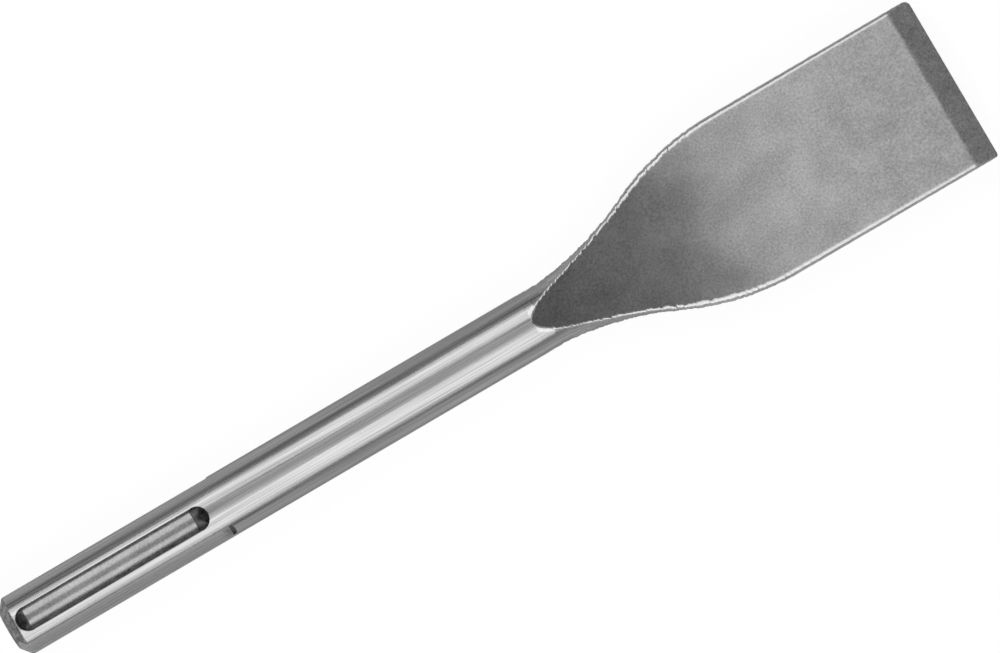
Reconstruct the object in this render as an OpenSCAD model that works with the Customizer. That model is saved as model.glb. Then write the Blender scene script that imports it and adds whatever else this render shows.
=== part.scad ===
// Flat spade chisel for a rotary hammer: a round shank and a wide flat blade, forged as one piece.
//
// Frame: X runs along the bar from the centre of the struck end face, at the origin, to the
// cutting edge. Y runs across the blade and Z is square to its face. All sizes in millimetres.

/* [Overall] */
// Length from the struck end face to the cutting edge
overall_l = 300; // [260:1:400]
// Diameter of the round bar
shank_d = 18; // [16:0.5:20]

/* [Struck end] */
// Length of the cone that leads to the struck face
cone_l = 2.6; // [1.5:0.1:4]
// Radius lost over that cone
cone_h = 3.2; // [2:0.1:4]
// Radius of the two rounded rims of the cone
cone_round = 0.9; // [0.4:0.1:1.2]

/* [Locking grooves] */
// Distance from the struck face to the two closed locking grooves
lock_start = 3.2; // [3:0.1:8]
// Length of a locking groove
lock_l = 60.4; // [40:0.1:80]
// Width of a locking groove at the surface of the bar
lock_w = 7; // [5:0.1:8]
// Width of its floor
lock_floor_w = 5.6; // [3:0.1:6]
// Depth of the groove below the top of the bar
lock_depth = 2.6; // [1.5:0.1:3.2]
// Radius of the hollow floor
lock_floor_r = 8; // [6:0.1:20]
// Radius of the sweep at each end of the floor
lock_sweep_r = 4.6; // [3.5:0.1:9]

/* [Drive slots] */
// Length of the three open drive slots, from the struck face to where they run out
slot_l = 67.9; // [45:0.1:90]
// Width of a drive slot
slot_w = 5; // [3:0.1:6]
// Depth of a drive slot
slot_depth = 2.5; // [1.5:0.1:3]
// Radius of the run-out at the end of a slot
slot_sweep_r = 7; // [4:0.1:12]
// Angle of the paired slots from the side opposite the single one
slot_angle = 33; // [25:1:42]

/* [Blade] */
// Length of the forged blade, from the tip of its face to the cutting edge
blade_l = 133.5; // [110:0.5:180]
// Width of the blade
blade_w = 50; // [36:0.5:80]
// Length over which the sides flare from the bar to the full width
flare_l = 70; // [55:0.5:90]
// Length of the straight stretch in the middle of that flare
straight_l = 1.5; // [1:0.1:6]
// Share of the flare that the hollow curve takes, before the rounded shoulder
hollow_share = 0.6; // [0.45:0.01:0.7]
// Length of the hollow face between the bar and the flat of the blade
face_l = 51; // [35:0.5:65]
// Thickness of the blade where the hollow face ends
blade_t = 5.2; // [4:0.1:8]
// Thickness of the blade at the cutting bevel
bevel_t = 4.4; // [3:0.1:6]
// Length of the ground cutting bevel
bevel_l = 6.6; // [3:0.1:12]
// Thickness of the cutting edge itself
edge_t = 0.5; // [0.2:0.1:1]
// Radius of the rounding along each edge of the blade
edge_round = 1.6; // [0.4:0.1:1.9]

/* [Hidden] */
$fn = 96;
steel = [0.62, 0.62, 0.63];
r = shank_d / 2;
past = 1;
neck_x = overall_l - blade_l;

// Struck end, as a turned profile
cone_a = atan(cone_h / cone_l);
rim_tan = cone_round * tan(cone_a / 2);
rim_tan_face = cone_round * tan((90 - cone_a) / 2);
face_r = r - cone_h;

// Floor of the grooves
lock_floor_z = r - lock_depth;
lock_end = lock_start + lock_l;
slot_floor_z = r - slot_depth;

// Sides of the blade: the round of the bar, carried out along a hollow curve, a short straight and
// a rounded shoulder. The blade starts a little inside the bar, and a trace smaller than it.
side_r = r - 0.01;
flare_x = neck_x - 1;
spread = blade_w / 2 - side_r;
flare_a = 2 * atan(spread / (flare_l + straight_l));
sweep_sum = (flare_l - straight_l * cos(flare_a)) / sin(flare_a);
hollow_r = sweep_sum * hollow_share;
shoulder_r = sweep_sum - hollow_r;
turn_x = flare_x + hollow_r * sin(flare_a);
turn_y = hollow_r * (1 - cos(flare_a));
shoulder_x = flare_x + flare_l;
shoulder_y = spread - shoulder_r;

// Faces of the blade: a hollow that falls from the bar, a tapering flat and the cutting bevel
half_t = blade_t / 2;
half_bevel_t = bevel_t / 2;
half_edge_t = edge_t / 2;
flat_x = neck_x + face_l;
bevel_x = overall_l - bevel_l;
face_drop = r - half_t;
hollow_face_r = (face_l * face_l + face_drop * face_drop) / (2 * face_drop);
taper = (half_t - half_bevel_t) / (bevel_x - flat_x);

// Rounding along the edges: it grows out of the round side between these two places
round_from = neck_x + 14;
round_full = neck_x + 44;
least_round = 0.3;

// Sections of the blade along X, with the points on half a side of one and on each rounding
side_points = 7;
round_points = 3;
sections = concat(
    [for (i = [0:44]) flare_x + (shoulder_x - flare_x) * i / 44],
    [bevel_x, overall_l]
);

function arc(cx, cy, rad, from, to, steps) =
    [for (i = [0:steps]) let (a = from + (to - from) * i / steps) [cx + rad * cos(a), cy + rad * sin(a)]];

function below(rad, dx) = rad - sqrt(rad * rad - dx * dx);

// Height of the blade's face above its middle plane
function face_z(x) =
    x < flat_x ? min(0.995 * side_r, half_t + below(hollow_face_r, flat_x - x)) :
    x < bevel_x ? half_t - taper * (x - flat_x) :
    half_bevel_t - (half_bevel_t - half_edge_t) * (x - bevel_x) / bevel_l;

// Half width of the line that lies a distance off the middle line of the blade's round side
function line_y(x, off) =
    x < turn_x - off * sin(flare_a) ? off + below(hollow_r - off, x - flare_x) :
    x < turn_x + straight_l * cos(flare_a) - off * sin(flare_a) ?
        turn_y + off * cos(flare_a) + (x - turn_x + off * sin(flare_a)) * tan(flare_a) :
    x < shoulder_x ? shoulder_y + shoulder_r + off - below(shoulder_r + off, shoulder_x - x) :
    spread + off;

// Half width of the blade at a height above its middle plane
function side_y(x, z) = line_y(x, sqrt(side_r * side_r - z * z));

function rounding(x) =
    max(least_round, min(
        edge_round,
        edge_round * (x - round_from) / (round_full - round_from),
        0.7 * face_z(x)
    ));

// Rounding between the upper face and the side, kept inside the round of the side, as [y, z]
function corner(x, e) =
    let (z = face_z(x), y = side_y(x, z) - e, reach = side_y(x, z - e) - y)
    [for (i = [0:round_points])
        let (a = 90 * i / round_points, h = z - e + e * cos(a))
        [min(side_y(x, h), y + reach * sin(a)), h]];

// One side of a section, from the upper face round to the lower one, as [y, z]
function side_line(x) =
    let (e = rounding(x), top = corner(x, e), low = face_z(x) - e)
    concat(
        top,
        [for (i = [side_points - 1:-1:1 - side_points])
            let (h = low * sin(90 * i / side_points)) [side_y(x, h), h]],
        [for (i = [round_points:-1:0]) [top[i][0], -top[i][1]]]
    );

function section(x) =
    let (line = side_line(x), last = len(line) - 1)
    concat(
        [for (p = line) [x, p[0], p[1]]],
        [for (i = [last:-1:0]) [x, -line[i][0], line[i][1]]]
    );

module chisel() {
    color(steel) difference() {
        union() {
            bar();
            blade();
        }
        lock_groove();
        mirror([0, 0, 1]) lock_groove();
        rotate([-90, 0, 0]) drive_slot();
        rotate([90 - slot_angle, 0, 0]) drive_slot();
        rotate([90 + slot_angle, 0, 0]) drive_slot();
    }
}

// Round bar with its coned and rounded struck end
module bar() {
    rotate([0, 90, 0]) rotate_extrude()
        polygon(concat(
            [[0, 0], [face_r - rim_tan_face, 0]],
            arc(face_r - rim_tan_face, cone_round, cone_round, -90, -cone_a, 5),
            arc(r - cone_round, cone_l + rim_tan, cone_round, -cone_a, 0, 5),
            [[r, neck_x], [0, neck_x]]
        ));
}

// Blade, lofted through its sections
module blade() {
    ring = 2 * (2 * side_points + 2 * round_points + 1);
    last = len(sections) - 1;
    polyhedron(
        points = [for (x = sections) for (p = section(x)) p],
        faces = concat(
            [[for (k = [ring - 1:-1:0]) k]],
            [for (i = [0:last - 1]) for (k = [0:ring - 1])
                [i * ring + k, i * ring + (k + 1) % ring, (i + 1) * ring + k]],
            [for (i = [0:last - 1]) for (k = [0:ring - 1])
                [(i + 1) * ring + k, i * ring + (k + 1) % ring, (i + 1) * ring + (k + 1) % ring]],
            [[for (k = [0:ring - 1]) last * ring + k]]
        )
    );
}

// Closed groove with rounded ends, sloping walls and a hollow floor
module lock_groove() {
    wall_z = sqrt(r * r - lock_w * lock_w / 4);
    floor_z = lock_floor_z + below(lock_floor_r, lock_floor_w / 2);
    lean = (lock_w - lock_floor_w) / 2 / (wall_z - floor_z);
    top_z = r + past;
    top_w = lock_w / 2 + lean * (top_z - wall_z);
    low_w = lock_floor_w / 2 - lean * (floor_z - lock_floor_z + past);
    sweep = acos((lock_sweep_r - lock_depth) / lock_sweep_r);
    left = lock_start + lock_sweep_r * sin(sweep);
    right = lock_end - lock_sweep_r * sin(sweep);
    intersection() {
        rotate([90, 0, 90]) linear_extrude(lock_end + past)
            intersection() {
                polygon([[-low_w, lock_floor_z - past], [low_w, lock_floor_z - past],
                    [top_w, top_z], [-top_w, top_z]]);
                translate([0, lock_floor_z + lock_floor_r]) circle(r = lock_floor_r);
            }
        rotate([90, 0, 0]) linear_extrude(2 * lock_w, center = true)
            polygon(concat(
                [[lock_start, top_z]],
                arc(left, lock_floor_z + lock_sweep_r, lock_sweep_r, -90 - sweep, -90, 10),
                arc(right, lock_floor_z + lock_sweep_r, lock_sweep_r, -90, -90 + sweep, 10),
                [[lock_end, top_z]]
            ));
        union() {
            translate([lock_start + lock_w / 2, 0, 0]) cylinder(d = lock_w, h = top_z);
            translate([lock_end - lock_w / 2, 0, 0]) cylinder(d = lock_w, h = top_z);
            translate([lock_start + lock_w / 2, -lock_w / 2, 0])
                cube([lock_l - lock_w, lock_w, top_z]);
        }
    }
}

// Open slot that starts at the struck face and runs out of the bar
module drive_slot() {
    sweep = acos((slot_sweep_r - slot_depth) / slot_sweep_r);
    over = slot_l - slot_sweep_r * sin(sweep);
    rotate([90, 0, 0]) linear_extrude(slot_w, center = true)
        polygon(concat(
            [[-past, r + past], [-past, slot_floor_z]],
            arc(over, slot_floor_z + slot_sweep_r, slot_sweep_r, -90, -90 + sweep, 10),
            [[slot_l, r + past]]
        ));
}

chisel();
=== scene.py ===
"""Flat spade chisel with a slotted hammer shank: one forged piece of steel over a pale floor.

The chisel is built in millimetres, with X along the bar and Z square to the blade, and every
point is then turned into metres.
"""

import math

import bmesh
import bpy
from mathutils import Matrix, Vector, noise


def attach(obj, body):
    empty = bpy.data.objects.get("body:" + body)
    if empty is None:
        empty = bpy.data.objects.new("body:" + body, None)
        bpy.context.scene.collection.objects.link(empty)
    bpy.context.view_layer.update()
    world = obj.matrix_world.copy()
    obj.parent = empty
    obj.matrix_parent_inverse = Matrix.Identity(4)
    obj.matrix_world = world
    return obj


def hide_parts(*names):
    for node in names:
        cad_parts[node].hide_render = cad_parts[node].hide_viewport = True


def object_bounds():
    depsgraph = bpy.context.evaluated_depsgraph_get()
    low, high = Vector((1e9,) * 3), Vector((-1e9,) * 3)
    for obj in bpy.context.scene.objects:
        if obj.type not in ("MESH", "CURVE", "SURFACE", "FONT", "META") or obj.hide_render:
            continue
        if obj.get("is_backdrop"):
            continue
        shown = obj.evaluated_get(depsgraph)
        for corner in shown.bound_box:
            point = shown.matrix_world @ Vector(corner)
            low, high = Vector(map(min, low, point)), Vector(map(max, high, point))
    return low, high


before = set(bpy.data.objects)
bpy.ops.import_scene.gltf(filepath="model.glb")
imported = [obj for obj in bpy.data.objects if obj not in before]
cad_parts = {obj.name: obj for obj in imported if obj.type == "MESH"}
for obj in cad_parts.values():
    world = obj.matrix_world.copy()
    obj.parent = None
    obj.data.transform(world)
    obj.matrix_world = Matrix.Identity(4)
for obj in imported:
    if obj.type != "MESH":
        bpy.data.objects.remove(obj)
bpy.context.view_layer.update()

bl_info = {
    "name": "Flat chisel",
    "version": (1, 0, 0),
    "blender": (4, 5, 0),
    "location": "View3D > Sidebar > Chisel",
    "description": "Builds a flat spade chisel with a slotted hammer shank, and a plain studio",
    "category": "Object",
}

MM = 0.001
PIECE = "chisel_body"
NODE = "chisel"

# Shape, in millimetres

# Radius of the two rims of the struck end, and where the grooved shank ends
END_ROUND = 0.9
SHANK_END = 68.6
# Angle of the paired slots from the side opposite the single one
PAIR_ANGLE = math.radians(33)
# Radius of the sweep at the ends of a closed groove, and where an open slot runs out
LOCK_SWEEP_R = 4.6
SLOT_SWEEP_R = 7.0
# Radius of the hollow floor of the closed grooves, half its width and how far it is off the middle
LOCK_FLOOR_R = 4.2
LOCK_FOOT = 2.6
LOCK_SHIFT = 0.3
# How far the painted shadow at the ends of a closed groove reaches over its floor, at its start
# and at its end
SHADOW_AT_START = 1.2
SHADOW_AT_END = 0.4
# How far along its run-out the floor of an open slot stays bright, before the painted shade of the
# walls takes over
SLOT_BRIGHT = 4
# Straight stretch in the middle of the flare, and the share of the flare that is hollow
STRAIGHT = 1.5
HOLLOW_SHARE = 0.6
# Thickness of the cutting edge, and the radius of its corners on the two sides of the blade
EDGE_T = 0.5
CORNER_R = {1: 1.8, -1: 0.9}
# Where the rounding of the edges starts to grow, after the tip of the face, and over what length
ROUND_START = 14
ROUND_GROWTH = 30
# Share of the half width that keeps the blade just inside the plain solid
INSIDE = 0.9985

# Mesh

# Places of the points across a closed groove and an open slot, as shares of the half width
LOCK_ACROSS = (
    -1, -0.9, -0.8, -0.72, -0.657, -0.5, -0.32, -0.12, 0.08, 0.28, 0.48, 0.66, 0.828, 0.91, 1
)
SLOT_ACROSS = (-1, -0.985, -0.96, -0.75, -0.5, -0.25, 0, 0.25, 0.5, 0.75, 0.96, 0.985, 1)
# Steps round the bar between one cut and the next
GAPS = (9, 9, 4, 5, 4)
# Places of the points across half a face, as shares of its half width
FACE_ACROSS = (0, 0.15, 0.3, 0.45, 0.6, 0.74, 0.86, 0.95)
# Steps over the rounding of an edge, and from there to the middle of the side
ROUND_STEPS = 5
SIDE_STEPS = 13
# Zones of the surface in the order of their materials, and those that win over the bar beside them
ZONES = ("bar", "groove", "slot", "wall", "groove_end_shadow", "end", "face", "rim", "side", "bevel")
CUT_ZONES = ("groove_end_shadow", "wall", "groove", "slot", "end")
# Edges that turn more than this stay sharp
SHARP = math.radians(32)

# Look

# Where along the chisel, in metres, the painted shade on the hollow of the face gives way to the
# pale blade
HOLLOW_SHADE_FROM = 0.214
HOLLOW_SHADE_TO = 0.253
# Depth of the bump of every finish, in metres
BUMP_DEPTH = 3e-5
# Glow of the floor for camera rays, its share there, and the level of the world for other rays
FLOOR_GLOW = 1.16
FLOOR_SHARE = 0.80
WORLD_LEVEL = 0.12
# Soft boxes beside the bar: side, tilt in degrees from upright, width in metres, watts
SIDE_BOXES = {"box_high": (1, 41.5, 0.70, 2.1), "box_low": (-1, 45, 1.0, 2.9)}
# Point that the camera looks at, along and across the bar in millimetres
AIM_ALONG = 158.3
AIM_ACROSS = 3.9


# Settings


def length_prop(name, description, default):
    """A length that the user can change."""
    return bpy.props.FloatProperty(
        name=name, description=description, default=default, min=0.0, unit="LENGTH"
    )


def colour_prop(name, description, default):
    """A colour that the user can change."""
    return bpy.props.FloatVectorProperty(
        name=name,
        description=description,
        default=default,
        size=3,
        min=0.0,
        max=1.0,
        subtype="COLOR",
    )


class ChiselSizes(bpy.types.PropertyGroup):
    overall: length_prop("Length", "Struck face to cutting edge", 300 * MM)
    bar_r: length_prop("Bar radius", "Radius of the round bar", 9 * MM)
    cone_l: length_prop("Cone length", "Cone at the struck end", 2.6 * MM)
    cone_h: length_prop("Cone height", "Radius lost over that cone", 3.2 * MM)
    lock_start: length_prop("Groove start", "Start of the locking grooves", 3.2 * MM)
    lock_l: length_prop("Groove length", "Length of a locking groove", 60.4 * MM)
    lock_w: length_prop("Groove width", "Width of a locking groove", 7 * MM)
    lock_depth: length_prop("Groove depth", "Depth of a locking groove", 2.6 * MM)
    slot_l: length_prop("Slot length", "Length of a drive slot", 67.9 * MM)
    slot_w: length_prop("Slot width", "Width of a drive slot", 5 * MM)
    slot_depth: length_prop("Slot depth", "Depth of a drive slot", 2.5 * MM)
    blade_l: length_prop("Blade length", "Tip of the face to the edge", 133.5 * MM)
    blade_w: length_prop("Blade width", "Full width of the blade", 50 * MM)
    flare_l: length_prop("Flare length", "Bar to full width", 70 * MM)
    face_l: length_prop("Hollow length", "Hollow part of the face", 51 * MM)
    blade_t: length_prop("Blade thickness", "Where the hollow ends", 5.2 * MM)
    bevel_t: length_prop("Thickness at bevel", "Where the bevel starts", 4.4 * MM)
    bevel_l: length_prop("Bevel length", "Ground cutting bevel", 6.6 * MM)
    edge_round: length_prop("Edge rounding", "Along the blade's sides", 1.6 * MM)
    least_round: length_prop("Least rounding", "At the tip of the face", 0.5 * MM)
    rough_rim: length_prop("Rim roughness", "Trimmed rim of the flare", 1.0 * MM)


class ChiselLook(bpy.types.PropertyGroup):
    bar: colour_prop("Bar", "Bright drawn bar", (0.63, 0.63, 0.635))
    blade: colour_prop("Blade", "Blasted face of the blade", (0.92, 0.92, 0.925))
    # Painted shade: the hollow of the face near the neck is coloured darker, where it turns away
    # from the light
    scale: colour_prop("Hollow", "Painted shade over the hollow of the face", (0.36, 0.36, 0.365))
    groove: colour_prop("Grooves", "Milled floors of the closed grooves", (0.46, 0.46, 0.465))
    # Partly painted light: the milled slot floors are coloured much paler than the bar, standing
    # in for the light they reflect
    slot: colour_prop("Slots", "Milled floors of the open slots", (0.90, 0.90, 0.905))
    # Painted shadow: the ends of the closed grooves are coloured near black where they lie in
    # shade
    groove_end_shadow: colour_prop("Groove ends", "Rough ends of the closed grooves, with painted shadow", (0.15, 0.15, 0.15))
    # Painted shade: the groove walls and the run-out ends of the slots are coloured dark where
    # shade falls in the recesses
    wall: colour_prop("Groove walls", "Groove walls and slot ends, with painted shade", (0.26, 0.26, 0.26))
    end: colour_prop("Struck end", "Coarsely turned end of the shank", (0.52, 0.52, 0.52))
    bevel: colour_prop("Bevel", "Ground cutting bevel", (0.95, 0.95, 0.95))
    rim: colour_prop("Rim", "Trimmed rim of the blade", (0.95, 0.95, 0.95))


class StageSettings(bpy.types.PropertyGroup):
    floor: colour_prop("Floor", "Pale floor", (0.90, 0.90, 0.90))
    light: bpy.props.FloatProperty(
        name="Light", description="Level of the soft boxes", default=1.0, min=0.0
    )
    rise: bpy.props.FloatProperty(
        name="Rise",
        description="Slope of the bar across the picture",
        default=math.radians(30.36),
        subtype="ANGLE",
    )
    view_roll: bpy.props.FloatProperty(
        name="View roll",
        description="Turn of the view about the bar, off square to the blade",
        default=math.radians(2.0),
        subtype="ANGLE",
    )
    frame_w: length_prop("Frame width", "Width of the picture at the bar", 274.4 * MM)


# Shape


def smooth(a, b, x):
    """Goes softly from 0 at a to 1 at b."""
    t = min(1.0, max(0.0, (x - a) / (b - a)))
    return t * t * (3 - 2 * t)


def below(rad, dx):
    """Drop of a circle below its top, dx to one side."""
    return rad - math.sqrt(max(0.0, rad * rad - dx * dx))


class Shape:
    """The curves of the chisel in its own frame, in millimetres."""

    def __init__(self, s):
        self.__dict__.update({k: getattr(s, k) / MM for k in s.__annotations__})
        r = self.bar_r
        self.side_r = r - 0.01
        self.neck_x = self.overall - self.blade_l
        self.flare_x = self.neck_x - 1
        self.spread = self.blade_w / 2 - self.side_r
        self.flare_a = 2 * math.atan(self.spread / (self.flare_l + STRAIGHT))
        along = self.flare_l - STRAIGHT * math.cos(self.flare_a)
        total = along / math.sin(self.flare_a)
        self.hollow_r = total * HOLLOW_SHARE
        self.shoulder_r = total - self.hollow_r
        self.turn_x = self.flare_x + self.hollow_r * math.sin(self.flare_a)
        self.turn_y = self.hollow_r * (1 - math.cos(self.flare_a))
        self.shoulder_x = self.flare_x + self.flare_l
        self.shoulder_y = self.spread - self.shoulder_r
        self.flat_x = self.neck_x + self.face_l
        self.bevel_x = self.overall - self.bevel_l
        drop = r - self.blade_t / 2
        self.face_r = (self.face_l**2 + drop**2) / (2 * drop)
        self.taper = (self.blade_t - self.bevel_t) / 2 / (self.bevel_x - self.flat_x)

    def face_z(self, x):
        """Height of the blade's face above its middle plane."""
        if x < self.flat_x:
            rise = below(self.face_r, self.flat_x - x)
            return min(0.995 * self.side_r, self.blade_t / 2 + rise)
        if x < self.bevel_x:
            return self.blade_t / 2 - self.taper * (x - self.flat_x)
        t = (x - self.bevel_x) / self.bevel_l
        return (self.bevel_t - (self.bevel_t - EDGE_T) * t) / 2

    def line_y(self, x, off):
        """Half width of the line a distance off the middle line of the blade's round side."""
        sa, ca = math.sin(self.flare_a), math.cos(self.flare_a)
        if x < self.flare_x:
            return off
        if x < self.turn_x - off * sa:
            return off + below(self.hollow_r - off, x - self.flare_x)
        if x < self.turn_x + STRAIGHT * ca - off * sa:
            return self.turn_y + off * ca + (x - self.turn_x + off * sa) * sa / ca
        if x < self.shoulder_x:
            rad = self.shoulder_r + off
            return self.shoulder_y + rad - below(rad, self.shoulder_x - x)
        return self.spread + off

    def side_y(self, x, z):
        """Half width of the blade at a height off its middle plane."""
        return self.line_y(x, math.sqrt(max(0.0, self.side_r**2 - z * z)))

    def rounding(self, x):
        """Radius of the rounding between a face and a side."""
        grown = self.edge_round * (x - self.neck_x - ROUND_START) / ROUND_GROWTH
        most = min(self.edge_round, grown, 0.7 * self.face_z(x))
        return min(max(self.least_round, most), 0.6 * self.face_z(x))

    def corner(self, x, e, steps):
        """Rounding between the upper face and the side, kept inside the round of the side."""
        z = self.face_z(x)
        y = self.side_y(x, z) - e
        reach = self.side_y(x, z - e) - y
        out = []
        for i in range(steps + 1):
            a = math.pi / 2 * i / steps
            h = z - e + e * math.cos(a)
            out.append((min(self.side_y(x, h), y + reach * math.sin(a)), h))
        return out


def span(a, b, n):
    """Evenly spaced values from a to b, in n steps."""
    return [a + (b - a) * i / n for i in range(n + 1)]


class Cut:
    """One groove or slot of the shank, in the frame where it faces up."""

    def __init__(self, shape, turn, closed):
        self.s, self.turn, self.closed = shape, turn, closed
        self.half = (shape.lock_w if closed else shape.slot_w) / 2
        depth = shape.lock_depth if closed else shape.slot_depth
        self.floor = shape.bar_r - depth
        self.sweep_r = LOCK_SWEEP_R if closed else SLOT_SWEEP_R
        reach = math.sqrt(self.sweep_r**2 - (self.sweep_r - depth) ** 2)
        self.x0 = shape.lock_start if closed else 0.0
        self.x1 = shape.lock_start + shape.lock_l if closed else shape.slot_l
        self.left = self.x0 + reach if closed else -10.0
        self.right = self.x1 - reach
        self.reach = self.half + 0.5
        self.across = LOCK_ACROSS if closed else SLOT_ACROSS

    def depth_at(self, x, t):
        """Height of the cut over the axis at x and a side step t."""
        z = self.floor
        if self.closed:
            off = abs(t - LOCK_SHIFT)
            z += below(LOCK_FLOOR_R, min(off, LOCK_FOOT))
            if off > LOCK_FOOT:
                wall_z = math.sqrt(self.s.bar_r**2 - self.half**2)
                foot_z = self.floor + below(LOCK_FLOOR_R, LOCK_FOOT)
                wall_off = abs(math.copysign(self.half, t) - LOCK_SHIFT)
                up = (off - LOCK_FOOT) / (wall_off - LOCK_FOOT)
                z = max(z, foot_z + up * (wall_z - foot_z))
        if x > self.right:
            z = max(z, self.floor + below(self.sweep_r, min(self.sweep_r, x - self.right)))
        if x < self.left:
            z = max(z, self.floor + below(self.sweep_r, min(self.sweep_r, self.left - x)))
        return z

    def half_at(self, x, rad):
        """Half width of the cut where it meets the bar's surface, or nothing."""
        if x < self.x0 or x > self.x1:
            return 0.0
        most = self.half
        if self.closed:
            inner = min(x - self.x0, self.x1 - x, self.half)
            most = math.sqrt(max(0.0, self.half**2 - (self.half - inner) ** 2))
        got = 0.0
        for i in range(1, 61):
            t = most * i / 60
            if t < rad and self.depth_at(x, t) < math.sqrt(rad * rad - t * t):
                got = t
        return got

    def zone(self, x, t):
        """Floor of a groove or slot, or one of the walls and ends that are coloured dark as
        painted shade.
        """
        if self.closed:
            # The ends of a closed groove get the near-black colour of painted shadow
            if not self.left - SHADOW_AT_START < x < self.right - SHADOW_AT_END:
                return "groove_end_shadow"
            # The walls of a closed groove get the dark colour of painted shade
            return "groove" if abs(t - LOCK_SHIFT) < LOCK_FOOT else "wall"
        # Past its bright stretch, the run-out of an open slot gets the painted shade of the walls
        return "slot" if x < self.right + SLOT_BRIGHT else "wall"

    def wide(self, rad):
        """Angle from the middle of the cut to the end of its share of the ring."""
        return math.asin(self.reach / (self.s.bar_r if self.closed else max(rad, 6.5)))

    def points(self, x, rad):
        """Points across the cut at x, as (angle round the bar, radius, zone)."""
        half = self.half_at(x, rad)
        got = half > 0.05
        half = max(half, 0.05)
        inner = []
        for f in self.across:
            t = f * half
            top = math.sqrt(max(0.01, rad * rad - t * t))
            z = min(top, self.depth_at(x, t)) if got and abs(f) < 1 else top
            zone = self.zone(x, t) if got and z < top - 1e-4 else "bar"
            inner.append((math.atan2(t, z), math.hypot(t, z), zone))
        edge, wide = inner[-1][0], self.wide(rad)
        outer = [(edge + (wide - edge) * k / 4, rad, "bar") for k in range(1, 5)]
        out = [(-a, q, c) for a, q, c in reversed(outer)] + inner + outer
        return [(a + self.turn, q, c) for a, q, c in out]


def end_radius(s, x):
    """Radius of the turned end at x, with both rims of the cone rounded."""
    r, rd = s.bar_r, END_ROUND
    a = math.atan(s.cone_h / s.cone_l)
    small = r - s.cone_h
    t0 = rd * math.tan((math.pi / 2 - a) / 2)
    t1 = rd * math.tan(a / 2)
    x_a = rd * (1 - math.sin(a))
    x_b = s.cone_l + t1 - rd * math.sin(a)
    if x < x_a:
        return small - t0 + math.sqrt(max(0.0, rd * rd - (rd - x) ** 2))
    if x < x_b:
        at_a = small - t0 + rd * math.cos(a)
        at_b = r - rd * (1 - math.cos(a))
        return at_a + (at_b - at_a) * (x - x_a) / (x_b - x_a)
    if x < s.cone_l + t1:
        return r - rd + math.sqrt(max(0.0, rd * rd - (s.cone_l + t1 - x) ** 2))
    return r


def end_stations(s):
    """Places along X that follow the two rounded rims of the struck end."""
    a = math.atan(s.cone_h / s.cone_l)
    t1 = END_ROUND * math.tan(a / 2)
    first = [END_ROUND * (1 - math.cos(b)) for b in span(0, math.pi / 2 - a, 5)]
    second = [s.cone_l + t1 - END_ROUND * math.sin(b) for b in span(a, 0, 6)]
    return first + span(first[-1], second[0], 12)[1:-1] + second


def shank_rings(s):
    """Rings of the grooved shank, each a list of points with their zones."""
    side = math.pi / 2
    cuts = [
        Cut(s, 0.0, True),
        Cut(s, side, False),
        Cut(s, 2 * side, True),
        Cut(s, 3 * side - PAIR_ANGLE, False),
        Cut(s, 3 * side + PAIR_ANGLE, False),
    ]
    start, past = s.lock_start, s.lock_start + s.lock_l
    xs = end_stations(s)
    xs += [x for x in span(start, start + 6, 36) + span(start + 6, past - 6, 40) if x > xs[-1]]
    xs += span(past - 6, SHANK_END, 70)
    rings = []
    for x in sorted(set(round(v, 4) for v in xs)):
        rad = end_radius(s, x)
        ring = []
        for i, cut in enumerate(cuts):
            ring += cut.points(x, rad)
            nxt = cuts[(i + 1) % len(cuts)]
            a0, a1 = cut.turn + cut.wide(rad), nxt.turn - nxt.wide(rad)
            if a1 < a0:
                a1 += 2 * math.pi
            ring += [(a, rad, "bar") for a in span(a0, a1, GAPS[i])[1:-1]]
        cone = x < s.cone_l + 0.3
        rings.append([
            ((x, q * math.sin(a), q * math.cos(a)), "end" if cone and zone == "bar" else zone)
            for a, q, zone in ring
        ])
    return rings


def rough(x, side, scale, seed):
    """Smooth noise along the blade, about 0."""
    return noise.noise(Vector((x / scale, side * 7.3, seed)))


def worn_corner(s, x, side):
    """Share of the half width that is left beside the rounded corners of the cutting edge."""
    rad = CORNER_R[side]
    over = max(0.0, x - (s.overall - rad))
    return 1 - below(rad, over) / (s.blade_w / 2)


def quarter(s, x, side, face):
    """Points from the middle of a face to the middle of a side, as (y, z)."""
    # The rim is raggedest along the flare. The bite moves the edge of the face, the dent the side.
    jag = s.rough_rim * (0.3 + 0.7 * smooth(s.neck_x, s.neck_x + 6, x))
    jag *= 1 - 0.75 * smooth(s.shoulder_x - 14, s.shoulder_x + 2, x)
    bite = jag * (0.4 * rough(x, side, 1.6, 1.0 + face) + 0.55 * rough(x, side, 0.6, 4.0 + face))
    dent = jag * (0.25 * rough(x, side, 1.5, 9.0) + 0.2 * rough(x, side, 0.5, 2.0) - 0.25)
    cor = s.corner(x, s.rounding(x), ROUND_STEPS)
    top_y, top_z = max(0.2, cor[0][0] - bite), cor[0][1]
    line = [(top_y * f, top_z) for f in FACE_ACROSS]
    for i, (y, z) in enumerate(cor):
        share = i / ROUND_STEPS
        line.append((max(top_y, y - bite * (1 - share) + dent * share), z))
    low = cor[-1][1]
    for i in range(1, SIDE_STEPS + 1):
        z = low * math.cos(math.pi / 2 * i / SIDE_STEPS)
        line.append((s.side_y(x, z) + dent, z))
    share = INSIDE * worn_corner(s, x, side)
    return [(y * share, z) for y, z in line]


def on_round(line, rad):
    """The same points carried out to the round of the bar."""
    return [(y * rad / math.hypot(y, z), z * rad / math.hypot(y, z)) for y, z in line]


def zone_of(s, x, k):
    """Zone of the face between points k and k + 1 of a quarter."""
    if x < s.neck_x:
        return "bar"
    rim_end = len(FACE_ACROSS) + ROUND_STEPS
    if k < rim_end and x > s.bevel_x:
        return "bevel"
    if k < len(FACE_ACROSS):
        return "face"
    if k < rim_end:
        return "rim"
    return "side" if x > s.neck_x + 20 else "bar"


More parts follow.
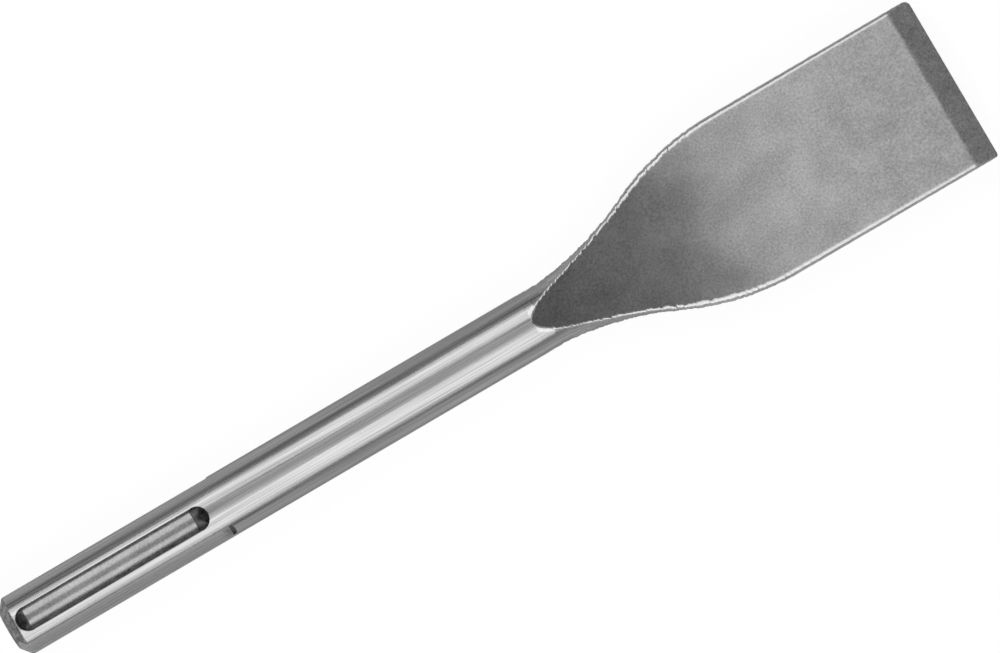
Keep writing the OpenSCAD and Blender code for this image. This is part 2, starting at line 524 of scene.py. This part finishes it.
def blade_rings(s):
    """Rings of the plain bar and the blade, from the end of the slots to the cutting edge."""
    xs = (
        span(SHANK_END + 1.2, s.neck_x - 0.4, 50)
        + span(s.neck_x, s.neck_x + 3, 16)
        + span(s.neck_x + 3, s.shoulder_x + 6, 280)[1:]
        + span(s.shoulder_x + 6, s.bevel_x, 80)[1:]
        + span(s.bevel_x, s.overall - 2, 8)[1:]
        + [s.overall - 2 + 2 * math.sin(a) for a in span(0, math.pi / 2, 12)[1:]]
    )
    rings = []
    for x in xs:
        halves = []
        for side in (1, -1):
            upper, lower = quarter(s, x, side, 1), quarter(s, x, side, -1)
            if x <= s.neck_x:
                upper, lower = on_round(upper, s.bar_r), on_round(lower, s.bar_r)
            halves.append([(side * y, z) for y, z in upper])
            halves[-1] += [(side * y, -z) for y, z in reversed(lower[:-1])]
        plus, minus = halves
        ring = plus + list(reversed(minus[1:-1]))
        rings.append([((x, y, z), None) for y, z in ring])
    return rings


def turn_of(p):
    """Angle of a point round the bar."""
    return math.atan2(p[1], p[2]) % (2 * math.pi)


def sew(faces, zones, ring_a, ring_b, pts):
    """Triangles between two rings of unlike counts on the round bar, in order of angle."""
    a = sorted(ring_a, key=lambda i: turn_of(pts[i]))
    b = sorted(ring_b, key=lambda i: turn_of(pts[i]))
    i = j = 0
    while i < len(a) or j < len(b):
        at_a = turn_of(pts[a[(i + 1) % len(a)]]) + (2 * math.pi if i + 1 >= len(a) else 0)
        at_b = turn_of(pts[b[(j + 1) % len(b)]]) + (2 * math.pi if j + 1 >= len(b) else 0)
        if j >= len(b) or (i < len(a) and at_a <= at_b):
            faces.append((a[i % len(a)], b[j % len(b)], a[(i + 1) % len(a)]))
            i += 1
        else:
            faces.append((a[i % len(a)], b[j % len(b)], b[(j + 1) % len(b)]))
            j += 1
        zones.append("bar")


def join(s, faces, zones, ring_a, ring_b, pts, tags):
    """Faces between two rings of the same count, with zones from their points or their places."""
    n = len(ring_a)
    x = (pts[ring_a[0]][0] + pts[ring_b[0]][0]) / 2
    for k in range(n):
        j = (k + 1) % n
        faces.append((ring_a[k], ring_b[k], ring_b[j], ring_a[j]))
        if tags[ring_a[0]]:
            near = (tags[ring_a[k]], tags[ring_a[j]])
            zones.append(next((z for z in CUT_ZONES if z in near), "bar"))
        else:
            q = min(k, n - 1 - k)
            zones.append(zone_of(s, x, min(q, n // 2 - 1 - q)))


def close_ends(faces, zones, first, last, hub):
    """A fan over the struck face, and a strip of faces over the cutting edge."""
    n = len(first)
    for k in range(n):
        faces.append((hub, first[k], first[(k + 1) % n]))
        zones.append("end")
    n = len(last)
    for k in range(n // 2):
        strip = dict.fromkeys((last[k], last[k + 1], last[-(k + 1) % n], last[-k % n]))
        if len(strip) > 2:
            faces.append(tuple(strip))
            zones.append("bevel")


def build_mesh(s, materials):
    """The whole chisel as one closed mesh in metres, with its own places kept for the textures."""
    pts, tags, faces, zones, rings = [], [], [], [], []
    for ring in shank_rings(s) + blade_rings(s):
        rings.append(range(len(pts), len(pts) + len(ring)))
        pts += [p for p, _zone in ring]
        tags += [zone for _p, zone in ring]
    for a, b in zip(rings, rings[1:]):
        if len(a) == len(b):
            join(s, faces, zones, a, b, pts, tags)
        else:
            sew(faces, zones, a, b, pts)
    close_ends(faces, zones, rings[0], rings[-1], len(pts))
    pts.append((0.0, 0.0, 0.0))
    mesh = bpy.data.meshes.new(PIECE)
    mesh.from_pydata([tuple(v * MM for v in p) for p in pts], [], faces)
    for m in materials:
        mesh.materials.append(m)
    own = mesh.attributes.new("own", "FLOAT_VECTOR", "POINT")
    own.data.foreach_set("vector", [v * MM for p in pts for v in p])
    for poly, zone in zip(mesh.polygons, zones):
        poly.material_index = ZONES.index(zone)
    work = bmesh.new()
    work.from_mesh(mesh)
    bmesh.ops.recalc_face_normals(work, faces=work.faces)
    work.to_mesh(mesh)
    work.free()
    mesh.shade_smooth()
    mesh.set_sharp_from_angle(angle=SHARP)
    return mesh


# Shared effects


def new_group(name, inputs, outputs):
    """A node group with its sockets, and its input and output nodes."""
    group = bpy.data.node_groups.new(name, "ShaderNodeTree")
    for label, default in inputs:
        sock = group.interface.new_socket(label, in_out="INPUT", socket_type="NodeSocketFloat")
        sock.default_value = default
    for label in outputs:
        group.interface.new_socket(label, in_out="OUTPUT", socket_type="NodeSocketFloat")
    return group, group.nodes.new("NodeGroupInput"), group.nodes.new("NodeGroupOutput")


def noise_node(group, scale, detail, roughness=0.5):
    """A noise texture with its constants set."""
    n = group.nodes.new("ShaderNodeTexNoise")
    n.inputs["Scale"].default_value = scale
    n.inputs["Detail"].default_value = detail
    n.inputs["Roughness"].default_value = roughness
    return n


def own_place(tree, stretch=(1, 1, 1)):
    """The point's place in the chisel's own frame, stretched."""
    at = tree.nodes.new("ShaderNodeAttribute")
    at.attribute_name = "own"
    mul = tree.nodes.new("ShaderNodeVectorMath")
    mul.operation = "MULTIPLY"
    mul.inputs[1].default_value = stretch
    tree.links.new(at.outputs["Vector"], mul.inputs[0])
    return mul.outputs["Vector"]


def grain_group():
    """Fine granular mottle: a value about 0.5, and the same as a height."""
    inputs = (("Scale", 1600.0), ("Blotch Scale", 90.0), ("Blotch", 0.35))
    g, gi, go = new_group("Grain", inputs, ("Value", "Height"))
    place = own_place(g)
    fine = noise_node(g, 1600, 3, 0.6)
    wide = noise_node(g, 90, 3, 0.55)
    for n, sock in ((fine, "Scale"), (wide, "Blotch Scale")):
        g.links.new(place, n.inputs["Vector"])
        g.links.new(gi.outputs[sock], n.inputs["Scale"])
    mix = g.nodes.new("ShaderNodeMix")
    g.links.new(gi.outputs["Blotch"], mix.inputs[0])
    g.links.new(fine.outputs["Fac"], mix.inputs[2])
    g.links.new(wide.outputs["Fac"], mix.inputs[3])
    g.links.new(mix.outputs[0], go.inputs["Value"])
    g.links.new(fine.outputs["Fac"], go.inputs["Height"])
    return g


def streak_group():
    """Fine streaks along the bar: a value about 0.5."""
    g, _gi, go = new_group("Streaks", (), ("Value",))
    mix = g.nodes.new("ShaderNodeMix")
    mix.inputs[0].default_value = 0.4
    for sock, stretch in ((2, (25, 2600, 2600)), (3, (5, 800, 800))):
        n = noise_node(g, 1.0, 4, 0.6)
        g.links.new(own_place(g, stretch), n.inputs["Vector"])
        g.links.new(n.outputs["Fac"], mix.inputs[sock])
    g.links.new(mix.outputs[0], go.inputs["Value"])
    return g


def along_group():
    """A value that goes from 0 to 1 between two places along the chisel, blurred by a mottle."""
    g, gi, go = new_group("Along", (("From", HOLLOW_SHADE_FROM), ("To", HOLLOW_SHADE_TO)), ("Value",))
    place = own_place(g)
    n = noise_node(g, 60, 2)
    g.links.new(place, n.inputs["Vector"])
    split = g.nodes.new("ShaderNodeSeparateXYZ")
    g.links.new(place, split.inputs[0])
    shift = g.nodes.new("ShaderNodeMath")
    shift.operation = "MULTIPLY_ADD"
    shift.inputs[1].default_value = 0.02
    g.links.new(n.outputs["Fac"], shift.inputs[0])
    g.links.new(split.outputs["X"], shift.inputs[2])
    ramp = g.nodes.new("ShaderNodeMapRange")
    ramp.interpolation_type = "SMOOTHSTEP"
    g.links.new(shift.outputs[0], ramp.inputs["Value"])
    g.links.new(gi.outputs["From"], ramp.inputs["From Min"])
    g.links.new(gi.outputs["To"], ramp.inputs["From Max"])
    g.links.new(ramp.outputs["Result"], go.inputs["Value"])
    return g


def spread_value(tree, value, low, high, swing=0.2):
    """Maps a value about 0.5, with its swing to either side, to the range from low to high."""
    m = tree.nodes.new("ShaderNodeMapRange")
    m.inputs["From Min"].default_value = 0.5 - swing
    m.inputs["From Max"].default_value = 0.5 + swing
    m.inputs["To Min"].default_value = low
    m.inputs["To Max"].default_value = high
    tree.links.new(value, m.inputs["Value"])
    return m.outputs["Result"]


def paint_hollow_shade(tree, colour_out, colour, along, dark):
    """Takes the colour down to a dark one towards the bar, as painted shade on the hollow of the
    face.
    """
    mask = tree.nodes.new("ShaderNodeGroup")
    mask.node_tree = along
    less = tree.nodes.new("ShaderNodeMath")
    less.operation = "SUBTRACT"
    less.inputs[0].default_value = 1.0
    dull = tree.nodes.new("ShaderNodeMix")
    dull.data_type = "RGBA"
    dull.blend_type = "MULTIPLY"
    dull.inputs[7].default_value = (*[d / c for d, c in zip(dark, colour)], 1)
    tree.links.new(mask.outputs["Value"], less.inputs[1])
    tree.links.new(less.outputs[0], dull.inputs[0])
    tree.links.new(colour_out, dull.inputs[6])
    return dull.outputs[2]


def worn_normal(tree, fx, height, round_r):
    """Normal with the edges rounded and the effect raised as a bump, or nothing."""
    normal = None
    if round_r:
        bevel = tree.nodes.new("ShaderNodeBevel")
        bevel.samples = 6
        bevel.inputs["Radius"].default_value = round_r
        normal = bevel.outputs["Normal"]
    if height:
        bump = tree.nodes.new("ShaderNodeBump")
        bump.inputs["Strength"].default_value = height
        bump.inputs["Distance"].default_value = BUMP_DEPTH
        out = "Height" if "Height" in fx.outputs else "Value"
        tree.links.new(fx.outputs[out], bump.inputs["Height"])
        if normal:
            tree.links.new(normal, bump.inputs["Normal"])
        normal = bump.outputs["Normal"]
    return normal


def steel(name, colour, roughness, tone, group, height, round_r=0.0, hollow_shade=None, blotch=None,
          swing=0.2):
    """A steel whose colour and roughness vary with one of the shared effects."""
    mat = bpy.data.materials.new(name)
    mat.use_nodes = True
    tree = mat.node_tree
    bsdf = tree.nodes["Principled BSDF"]
    bsdf.inputs["Metallic"].default_value = 1.0
    fx = tree.nodes.new("ShaderNodeGroup")
    fx.node_tree = group
    if blotch:
        fx.inputs["Blotch Scale"].default_value, fx.inputs["Blotch"].default_value = blotch
    value = fx.outputs["Value"]
    tree.links.new(spread_value(tree, value, *roughness), bsdf.inputs["Roughness"])
    shade = tree.nodes.new("ShaderNodeMix")
    shade.data_type = "RGBA"
    shade.inputs[6].default_value = (*[c * (1 - tone) for c in colour], 1)
    shade.inputs[7].default_value = (*[min(1, c * (1 + tone)) for c in colour], 1)
    tree.links.new(spread_value(tree, value, 0, 1, swing), shade.inputs[0])
    colour_out = shade.outputs[2]
    if hollow_shade:
        colour_out = paint_hollow_shade(tree, colour_out, colour, *hollow_shade)
    tree.links.new(colour_out, bsdf.inputs["Base Color"])
    normal = worn_normal(tree, fx, height, round_r)
    if normal:
        tree.links.new(normal, bsdf.inputs["Normal"])
    return mat


# Operators


class OBJECT_OT_chisel_body(bpy.types.Operator):
    """Builds the chisel and hides the plain solid that it stands for"""

    bl_idname = "object.chisel_body"
    bl_label = "Chisel"

    def execute(self, context):
        look = context.scene.chisel_look
        grain, streaks = grain_group(), streak_group()
        hollow_shade = (along_group(), look.scale)
        made = {
            "bar": steel("Bar", look.bar, (0.20, 0.32), 0.52, streaks, 0.3, 0.25 * MM),
            "groove": steel("Groove", look.groove, (0.22, 0.34), 0.32, grain, 0.25, 0.2 * MM),
            # Slot floors are milled steel, made paler still as painted light
            "slot": steel("Slot", look.slot, (0.36, 0.48), 0.45, streaks, 0.3, 0.2 * MM),
            # Painted shade: dark colour on the groove walls and slot ends
            "wall": steel("Shaded wall", look.wall, (0.34, 0.5), 0.60, grain, 0.8, 0.1 * MM,
                          blotch=(600, 0.5)),
            # Painted shadow: near-black colour on the ends of the closed grooves
            "groove_end_shadow": steel("Groove end shadow", look.groove_end_shadow, (0.36, 0.6), 0.9, grain, 1.0,
                            blotch=(700, 0.6)),
            "end": steel("End", look.end, (0.40, 0.6), 0.85, grain, 1.0, 0.25 * MM,
                         blotch=(500, 0.6)),
            # The face is darkened towards the bar as painted shade
            "face": steel("Face", look.blade, (0.38, 0.5), 0.34, grain, 1.0, hollow_shade=hollow_shade,
                          swing=0.13),
            "rim": steel("Rim", look.rim, (0.24, 0.36), 0.30, grain, 0.8),
            "side": steel("Side", look.bar, (0.26, 0.40), 0.20, grain, 0.4),
            "bevel": steel("Bevel", look.bevel, (0.40, 0.52), 0.50, grain, 0.8,
                           blotch=(260, 0.25)),
        }
        shape = Shape(context.scene.chisel_sizes)
        mesh = build_mesh(shape, [made[z] for z in ZONES])
        body = bpy.data.objects.new(PIECE, mesh)
        context.collection.objects.link(body)
        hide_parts(NODE)
        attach(body, "root")
        return {"FINISHED"}


class OBJECT_OT_chisel_stage(bpy.types.Operator):
    """Builds the floor, the soft light and the camera"""

    bl_idname = "object.chisel_stage"
    bl_label = "Stage"

    def execute(self, context):
        scene = context.scene
        st = scene.chisel_stage
        make_floor(context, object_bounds()[0].z, st.floor)
        make_lights(context, st.light)
        make_world(scene)
        make_camera(context, st)
        scene.view_settings.view_transform = "Standard"
        return {"FINISHED"}


def make_floor(context, low, colour):
    """A pale floor under the chisel, near white for the camera, that keeps a soft shadow."""
    half = 6.0
    mesh = bpy.data.meshes.new("floor")
    corners = [(-half, -half, 0), (half, -half, 0), (half, half, 0), (-half, half, 0)]
    mesh.from_pydata(corners, [], [(0, 1, 2, 3)])
    floor = bpy.data.objects.new("floor", mesh)
    floor.location.z = low
    context.collection.objects.link(floor)
    mat = bpy.data.materials.new("Floor")
    mat.use_nodes = True
    tree = mat.node_tree
    bsdf = tree.nodes["Principled BSDF"]
    bsdf.inputs["Base Color"].default_value = (*colour, 1)
    bsdf.inputs["Roughness"].default_value = 0.9
    bsdf.inputs["Specular IOR Level"].default_value = 0.0
    lit = tree.nodes.new("ShaderNodeEmission")
    lit.inputs["Strength"].default_value = FLOOR_GLOW
    path = tree.nodes.new("ShaderNodeLightPath")
    share = tree.nodes.new("ShaderNodeMath")
    share.operation = "MULTIPLY"
    share.inputs[1].default_value = FLOOR_SHARE
    tree.links.new(path.outputs["Is Camera Ray"], share.inputs[0])
    mix = tree.nodes.new("ShaderNodeMixShader")
    tree.links.new(share.outputs[0], mix.inputs[0])
    tree.links.new(bsdf.outputs[0], mix.inputs[1])
    tree.links.new(lit.outputs[0], mix.inputs[2])
    tree.links.new(mix.outputs[0], tree.nodes["Material Output"].inputs["Surface"])
    mesh.materials.append(mat)
    floor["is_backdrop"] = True


def soft_box(context, name, place, size_x, size_y, watts):
    """A rectangular light at a place, facing the origin, with its first side along the bar."""
    data = bpy.data.lights.new(name, "AREA")
    data.shape = "RECTANGLE"
    data.size, data.size_y = size_x, size_y
    data.energy = watts
    lamp = bpy.data.objects.new(name, data)
    along = Vector((1, 0, 0))
    back = place.normalized()
    x_axis = (along - back * along.dot(back)).normalized()
    y_axis = back.cross(x_axis)
    turn = Matrix((x_axis, y_axis, back)).transposed().to_4x4()
    lamp.matrix_world = Matrix.Translation(place) @ turn
    lamp.visible_camera = False
    context.collection.objects.link(lamp)


def make_lights(context, level):
    """Two soft boxes along the bar, either side of the camera, and a weak wide one over it."""
    for name, (side, tilt, wide, watts) in SIDE_BOXES.items():
        lean = math.radians(tilt)
        place = Vector((0, side * math.sin(lean), math.cos(lean)))
        soft_box(context, name, place, 0.9, wide, watts * level)
    soft_box(context, "box_top", Vector((0, 0, 1.2)), 1.0, 0.8, 0.85 * level)


def make_world(scene):
    """White for the camera, dim for the light on the chisel."""
    world = bpy.data.worlds.new("Studio")
    world.use_nodes = True
    tree = world.node_tree
    back = tree.nodes["Background"]
    back.inputs["Color"].default_value = (1, 1, 1, 1)
    path = tree.nodes.new("ShaderNodeLightPath")
    level = tree.nodes.new("ShaderNodeMapRange")
    level.inputs["To Min"].default_value = WORLD_LEVEL
    level.inputs["To Max"].default_value = 1.0
    tree.links.new(path.outputs["Is Camera Ray"], level.inputs["Value"])
    tree.links.new(level.outputs["Result"], back.inputs["Strength"])
    scene.world = world


def make_camera(context, st):
    """A long lens over the chisel, turned about the bar and about its own axis as in the photo."""
    data = bpy.data.cameras.new("camera")
    data.sensor_width = 36.0
    data.lens = 300.0
    data.clip_start, data.clip_end = 0.05, 50
    cam = bpy.data.objects.new("camera", data)
    along = Vector((1, 0, 0))
    back = Vector((0, -math.sin(st.view_roll), math.cos(st.view_roll)))
    across = Vector((0, math.cos(st.view_roll), math.sin(st.view_roll)))
    right = along * math.cos(st.rise) - across * math.sin(st.rise)
    upward = along * math.sin(st.rise) + across * math.cos(st.rise)
    aim = (along * AIM_ALONG + across * AIM_ACROSS) * MM
    far = st.frame_w * data.lens / data.sensor_width
    turn = Matrix((right, upward, back)).transposed().to_4x4()
    cam.matrix_world = Matrix.Translation(aim + back * far) @ turn
    context.collection.objects.link(cam)
    context.scene.camera = cam


class VIEW3D_PT_chisel(bpy.types.Panel):
    """Sizes, colours and the steps that build the chisel"""

    bl_label = "Flat chisel"
    bl_idname = "VIEW3D_PT_chisel"
    bl_space_type = "VIEW_3D"
    bl_region_type = "UI"
    bl_category = "Chisel"

    def draw(self, context):
        scene = context.scene
        for group in (scene.chisel_sizes, scene.chisel_look, scene.chisel_stage):
            box = self.layout.box()
            for key in group.__annotations__:
                box.prop(group, key)
        self.layout.operator(OBJECT_OT_chisel_body.bl_idname)
        self.layout.operator(OBJECT_OT_chisel_stage.bl_idname)


CLASSES = (
    ChiselSizes,
    ChiselLook,
    StageSettings,
    OBJECT_OT_chisel_body,
    OBJECT_OT_chisel_stage,
    VIEW3D_PT_chisel,
)


def register():
    for cls in CLASSES:
        bpy.utils.register_class(cls)
    bpy.types.Scene.chisel_sizes = bpy.props.PointerProperty(type=ChiselSizes)
    bpy.types.Scene.chisel_look = bpy.props.PointerProperty(type=ChiselLook)
    bpy.types.Scene.chisel_stage = bpy.props.PointerProperty(type=StageSettings)


def unregister():
    for name in ("chisel_sizes", "chisel_look", "chisel_stage"):
        delattr(bpy.types.Scene, name)
    for cls in reversed(CLASSES):
        bpy.utils.unregister_class(cls)


def main():
    register()
    bpy.ops.object.chisel_body()
    bpy.ops.object.chisel_stage()


if __name__ == "__main__":
    main()
